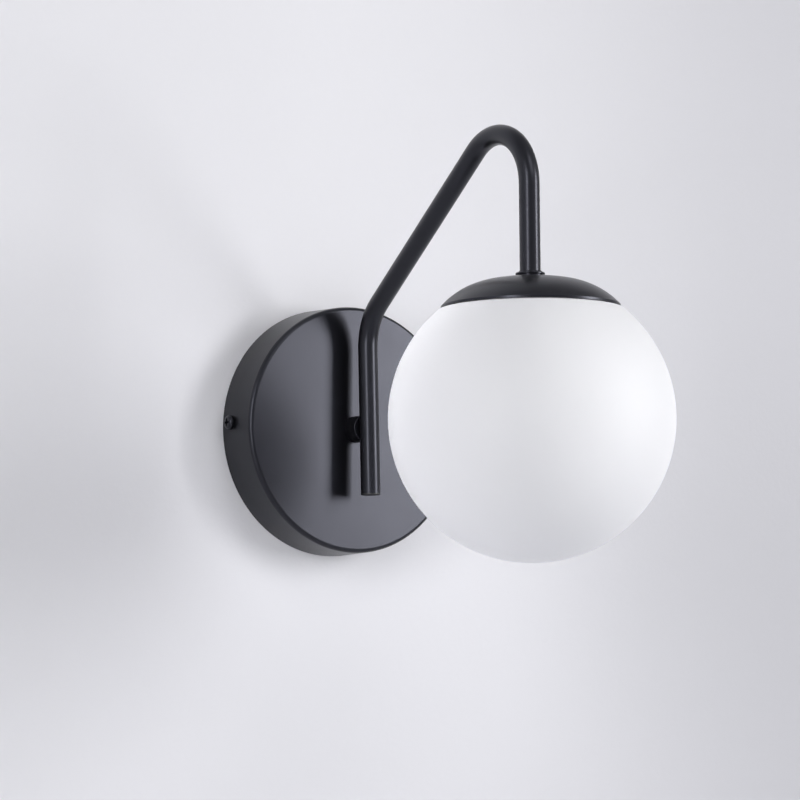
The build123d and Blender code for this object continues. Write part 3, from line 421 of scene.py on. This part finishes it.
routes = {  # the side for round_wire, and the route in millimetres
    "live_lead_canopy": ((1, 0.2, 0), [
        (-1.3, -17.3, 0), (-1.3, -14.0, 0), (-1.3, -8.9, 0.6), (-0.1, -7.75, 8.5), (0, -7.75, 15.0),
        (0, -7.75, 25.0),
    ]),
    "neutral_lead_canopy": ((1, 0.2, 0), [
        (1.3, -17.3, 0), (1.3, -14.0, 0), (1.5, -8.9, 0.6), (9.2, -7.75, 8.5), (10, -7.75, 15.0),
        (10, -7.75, 25.0),
    ]),
    "earth_lead": ((0, 1, 0.3), [
        (-17.0, -3.7, 0), (-14.5, -3.7, 0), (-10.2, -3.7, 0.2), (-10, -7.6, 8.5), (-10, -7.75, 15.0),
        (-10, -7.75, 25.0),
    ]),
}
GREEN, YELLOW, STRIPE_TURNS = (0.045, 0.26, 0.05), (0.74, 0.58, 0.02), 1.5
finishes["lead_green_yellow"] = striped_wire("lead_green_yellow", GREEN, YELLOW, STRIPE_TURNS)
for node, (side, route) in routes.items():
    line = spline(np.array(route) * MM, WIRE_RINGS)
    wire = grid_mesh("smooth_" + node, round_wire(line, WIRE_RADIUS, np.array(side)))
    add_piece("smooth_" + node, wire, slots[node], "wall_side", node)

# %% [markdown]
# ## The lamp's screw base
#
# A lamp's base is thin plated metal rolled between two dies, so its thread is a soft wave that climbs once
# round in 3.67 mm. The solid has rings of the same wave, which is enough for its size and weight, but rings
# don't climb. Here the wave is a function of height and angle together, and that is all a helix is.

# %% A rolled thread
def screw_base(axis_y, under, top, crest, depth, turns, tip, wall, around=96, steps=150):
    """Radius = middle + half the depth * sin(2 pi height / pitch + angle), faded out over a third of a pitch
    at both ends; then the shoulder slopes in to the tip's insulator, and the inside comes back down a wall
    further in."""
    pitch = (top - under) / (turns + 1)
    angle = np.linspace(0, 2 * np.pi, around, endpoint=False)[None, :]
    height = np.linspace(under, top - pitch / 2, steps)[:, None]
    rise = np.clip((height - under - pitch / 4) / (pitch / 3), 0, 1)
    fade = rise * np.clip((height[-1] - height) / (pitch / 3), 0, 1)
    wave = np.sin(2 * np.pi * height / pitch + angle)
    skin = crest - depth / 2 + depth / 2 * fade * wave
    inner = crest - depth - wall
    rest = np.array([(tip, top), (tip, top - wall), (inner, top - pitch / 2 - wall), (inner, under)])
    radii = np.concatenate([skin, np.repeat(rest[:, :1], around, 1)])
    heights = np.repeat(np.concatenate([height, rest[:, 1:]]), around, 1)
    return np.stack([radii * np.cos(angle), axis_y + radii * np.sin(angle), heights], -1)


thread = screw_base(
    axis_y=-196.0 * MM, under=5.805 * MM, top=27.805 * MM, crest=13.1 * MM, depth=0.9 * MM, turns=5,
    tip=9.6 * MM, wall=0.8 * MM,
)
base = grid_mesh("rolled_screw_base", thread, loop=True)
add_piece("rolled_screw_base", base, "nickel_plate", "lamp", "lamp_screw_base")

# %% [markdown]
# ## The camera
#
# The photograph was taken from the left of the lamp and slightly below it, with a long lens. The numbers
# come from matching the outlines of the canopy, tube, cap and globe: 34 degrees to the left, 5 degrees
# below, 1.66 m away.

# %% Camera
AZIMUTH = math.radians(-33.952)
ELEVATION = math.radians(-5.239)
ROLL = math.radians(-0.438)
DISTANCE = 1.66278
TARGET = Vector((0.008871, -0.060, 0.014691))
SENSOR_WIDTH = 36.0  # mm
FOCAL_PIXELS, PICTURE_PIXELS = 2965.03, 800.0


def direction(azimuth, elevation):
    """From the lamp outwards: (sin a cos e, -cos a cos e, sin e), so that azimuth 0 faces the wall."""
    level = math.cos(elevation)
    return Vector((math.sin(azimuth) * level, -math.cos(azimuth) * level, math.sin(elevation)))


back = direction(AZIMUTH, ELEVATION)
level = (-back).cross(Vector((0, 0, 1))).normalized()
above = level.cross(-back)
right = math.cos(ROLL) * level + math.sin(ROLL) * above
up = -math.sin(ROLL) * level + math.cos(ROLL) * above

lens = bpy.data.cameras.new("camera")
lens.sensor_width = SENSOR_WIDTH
lens.lens = SENSOR_WIDTH * FOCAL_PIXELS / PICTURE_PIXELS
lens.clip_end = 50.0
camera = into_scene("camera", lens)
turned = Matrix((right, up, back)).transposed().to_4x4()
camera.matrix_world = Matrix.Translation(TARGET + DISTANCE * back) @ turned
bpy.context.scene.camera = camera
print("lens:", round(lens.lens, 2), "mm, standing at", [round(v, 3) for v in camera.location])

# %% [markdown]
# ## Wall and floor
#
# A wall lamp needs its wall: it catches the soft shadows that say how far the globe stands off. Both the
# wall and the floor are pale sheets that can be seen only from the room's side, so that the lamp's back
# can be looked at too. They could be boxes, but a box would hide the back of the lamp. The wall gets darker
# to the right, as the photograph's does; that fall of light is painted shade in its colour, so the lamps
# needn't make it.

# %% Wall and floor
WALL_Y = 0.0004  # just behind the canopy, so that the two faces don't fight
FLOOR_Z = -0.42
HALF_WIDTH, WALL_TOP, FLOOR_FRONT, FLOOR_BACK = 3, 2.5, -4, 3
# painted shade: the wall's colour darkens to the right, where the light falls off
PAINTED_SHADE_TINT = (0.67, 0.67, 0.68)  # what the wall's colour is multiplied by where it is darkest


def sheet_from(name, corners):
    """A four-cornered face; the corners run anticlockwise seen from the room."""
    mesh = bpy.data.meshes.new(name)
    mesh.from_pydata(corners, [], [(0, 1, 2, 3)])
    made = into_scene(name, mesh)
    return made


def seen_rays(finish):
    """1 for what the camera sees, straight, in a mirror or through a glass; 0 for the light that bounces."""
    kinds = ("Is Camera Ray", "Is Glossy Ray", "Is Transmission Ray")
    straight, mirrored, through = (finish.node("ShaderNodeLightPath", output=kind) for kind in kinds)
    return straight.either(mirrored.either(through))


def plaster(name, shade, painted_shade_span, glow):
    """Painted plaster: slow clouds and a fine grain, a painted shade that darkens it between two distances
    to the right, and a little brighter to the eye than its light makes it. It is clear from behind, and it
    casts no shadow."""
    skin = Finish(name, IOR=1.45, Roughness=0.9, Specular_IOR_Level=0.2)
    cloud = skin.noise(0.35, 3.0)
    grain = skin.noise(0.003, 4.0)
    across = skin.part(skin.place(), "X")
    painted = skin.mix(cloud, tuple(0.985 * c for c in shade), shade)
    # painted shade: the colour is multiplied darker towards the right
    skin.set("Base Color", skin.mix(skin.step(across, *painted_shade_span), painted, PAINTED_SHADE_TINT, "MULTIPLY"))
    skin.set("Emission Color", shade)
    skin.set("Emission Strength", glow * seen_rays(skin))
    skin.bump(grain, 0.00012)
    behind = skin.node("ShaderNodeNewGeometry", output="Backfacing")
    shadow = skin.node("ShaderNodeLightPath", output="Is Shadow Ray")
    clear = skin.node("ShaderNodeBsdfTransparent")
    solid = Link(skin, skin.shader.outputs[0])
    shown = skin.node("ShaderNodeMixShader", None, {0: behind.either(shadow), 1: solid, 2: clear})
    skin.put(skin.output.inputs["Surface"], shown)
    return skin.material


wall = sheet_from("wall", [
    (-HALF_WIDTH, WALL_Y, FLOOR_Z), (HALF_WIDTH, WALL_Y, FLOOR_Z),
    (HALF_WIDTH, WALL_Y, WALL_TOP), (-HALF_WIDTH, WALL_Y, WALL_TOP),
])
floor = sheet_from("floor", [
    (-HALF_WIDTH, FLOOR_FRONT, FLOOR_Z), (HALF_WIDTH, FLOOR_FRONT, FLOOR_Z),
    (HALF_WIDTH, FLOOR_BACK, FLOOR_Z), (-HALF_WIDTH, FLOOR_BACK, FLOOR_Z),
])
wall.data.materials.append(plaster("wall_plaster", (0.885, 0.882, 0.922), painted_shade_span=(-0.04, 0.40), glow=0.04))
floor.data.materials.append(plaster("floor_plaster", (0.62, 0.625, 0.64), painted_shade_span=(3.0, 9.0), glow=0.30))
print("wall and floor meet at z =", FLOOR_Z)

# %% [markdown]
# ## Lamps
#
# The paint tells where the light stood. The two bright lines down the tube are a lamp on the right and a
# tall strip on the left, and the shade that crosses the canopy is the right lamp's picture in it, with the
# tube's picture dark in front. So the lamps are two tall softboxes at those angles, a weak one at the far
# left for the canopy's side, a weak high one in front for the globe, and one behind for the back. Softboxes
# that stand at the right angles do more for a dark satin paint than any change of its colour.

# %% Softboxes
AIM = Vector((0, -0.1, 0.03))


def softbox(name, azimuth, elevation, distance, width, height, brightness):
    """A rectangular lamp at an azimuth and elevation, turned towards the aim; brightness is what it shows."""
    off = direction(math.radians(azimuth), math.radians(elevation))
    data = bpy.data.lights.new(name, "AREA")
    data.shape = "RECTANGLE"
    data.size, data.size_y = width, height
    data.energy = brightness * math.pi * width * height
    lamp = into_scene(name, data)
    turned = off.to_track_quat("Z", "Y").to_matrix().to_4x4()
    lamp.matrix_world = Matrix.Translation(AIM + off * distance) @ turned
    print(f"{name}: {data.energy:.1f} W")


LAMPS = {  # azimuth and elevation in degrees, distance, width, height, brightness
    "key_right": (42, 8, 1.15, 0.30, 0.64, 13.2),
    "strip_left": (-58, 9, 1.8, 0.32, 1.10, 10.8),
    "edge_left": (-84, 18, 1.8, 0.28, 0.90, 1.2),
    "high_front": (5, 38, 1.8, 0.80, 0.90, 2.3),
    "behind": (180, 25, 1.8, 1.6, 1.6, 2.2),
}
for name, numbers in LAMPS.items():
    softbox(name, *numbers)

# %% [markdown]
# ## The room around
#
# Beyond the wall and the floor there is a plain pale room. The camera sees it, and so do the paint, metal
# and glass that mirror it, but hardly any light comes from it: the photograph's room was dim, and its
# shadows are deep. A pale room that also lit the lamp would wash them out.

# %% World
ROOM_COLOUR = (0.95, 0.96, 1.0)
ROOM_LIGHT, ROOM_SEEN = 0.03, 0.45  # what it lights with, and how much brighter it looks


class Surroundings(Finish):
    """The world's nodes, written the same way as a finish."""

    def __init__(self, world):
        world.use_nodes = True
        self.tree = world.node_tree
        self.shader = self.tree.nodes["Background"]


world = bpy.data.worlds.new("studio")
bpy.context.scene.world = world
room = Surroundings(world)
room.set("Color", ROOM_COLOUR)
room.set("Strength", ROOM_LIGHT + ROOM_SEEN * seen_rays(room))
bpy.context.scene.view_settings.view_transform = "Standard"
print("the room looks", ROOM_LIGHT + ROOM_SEEN, "bright and lights with", ROOM_LIGHT)
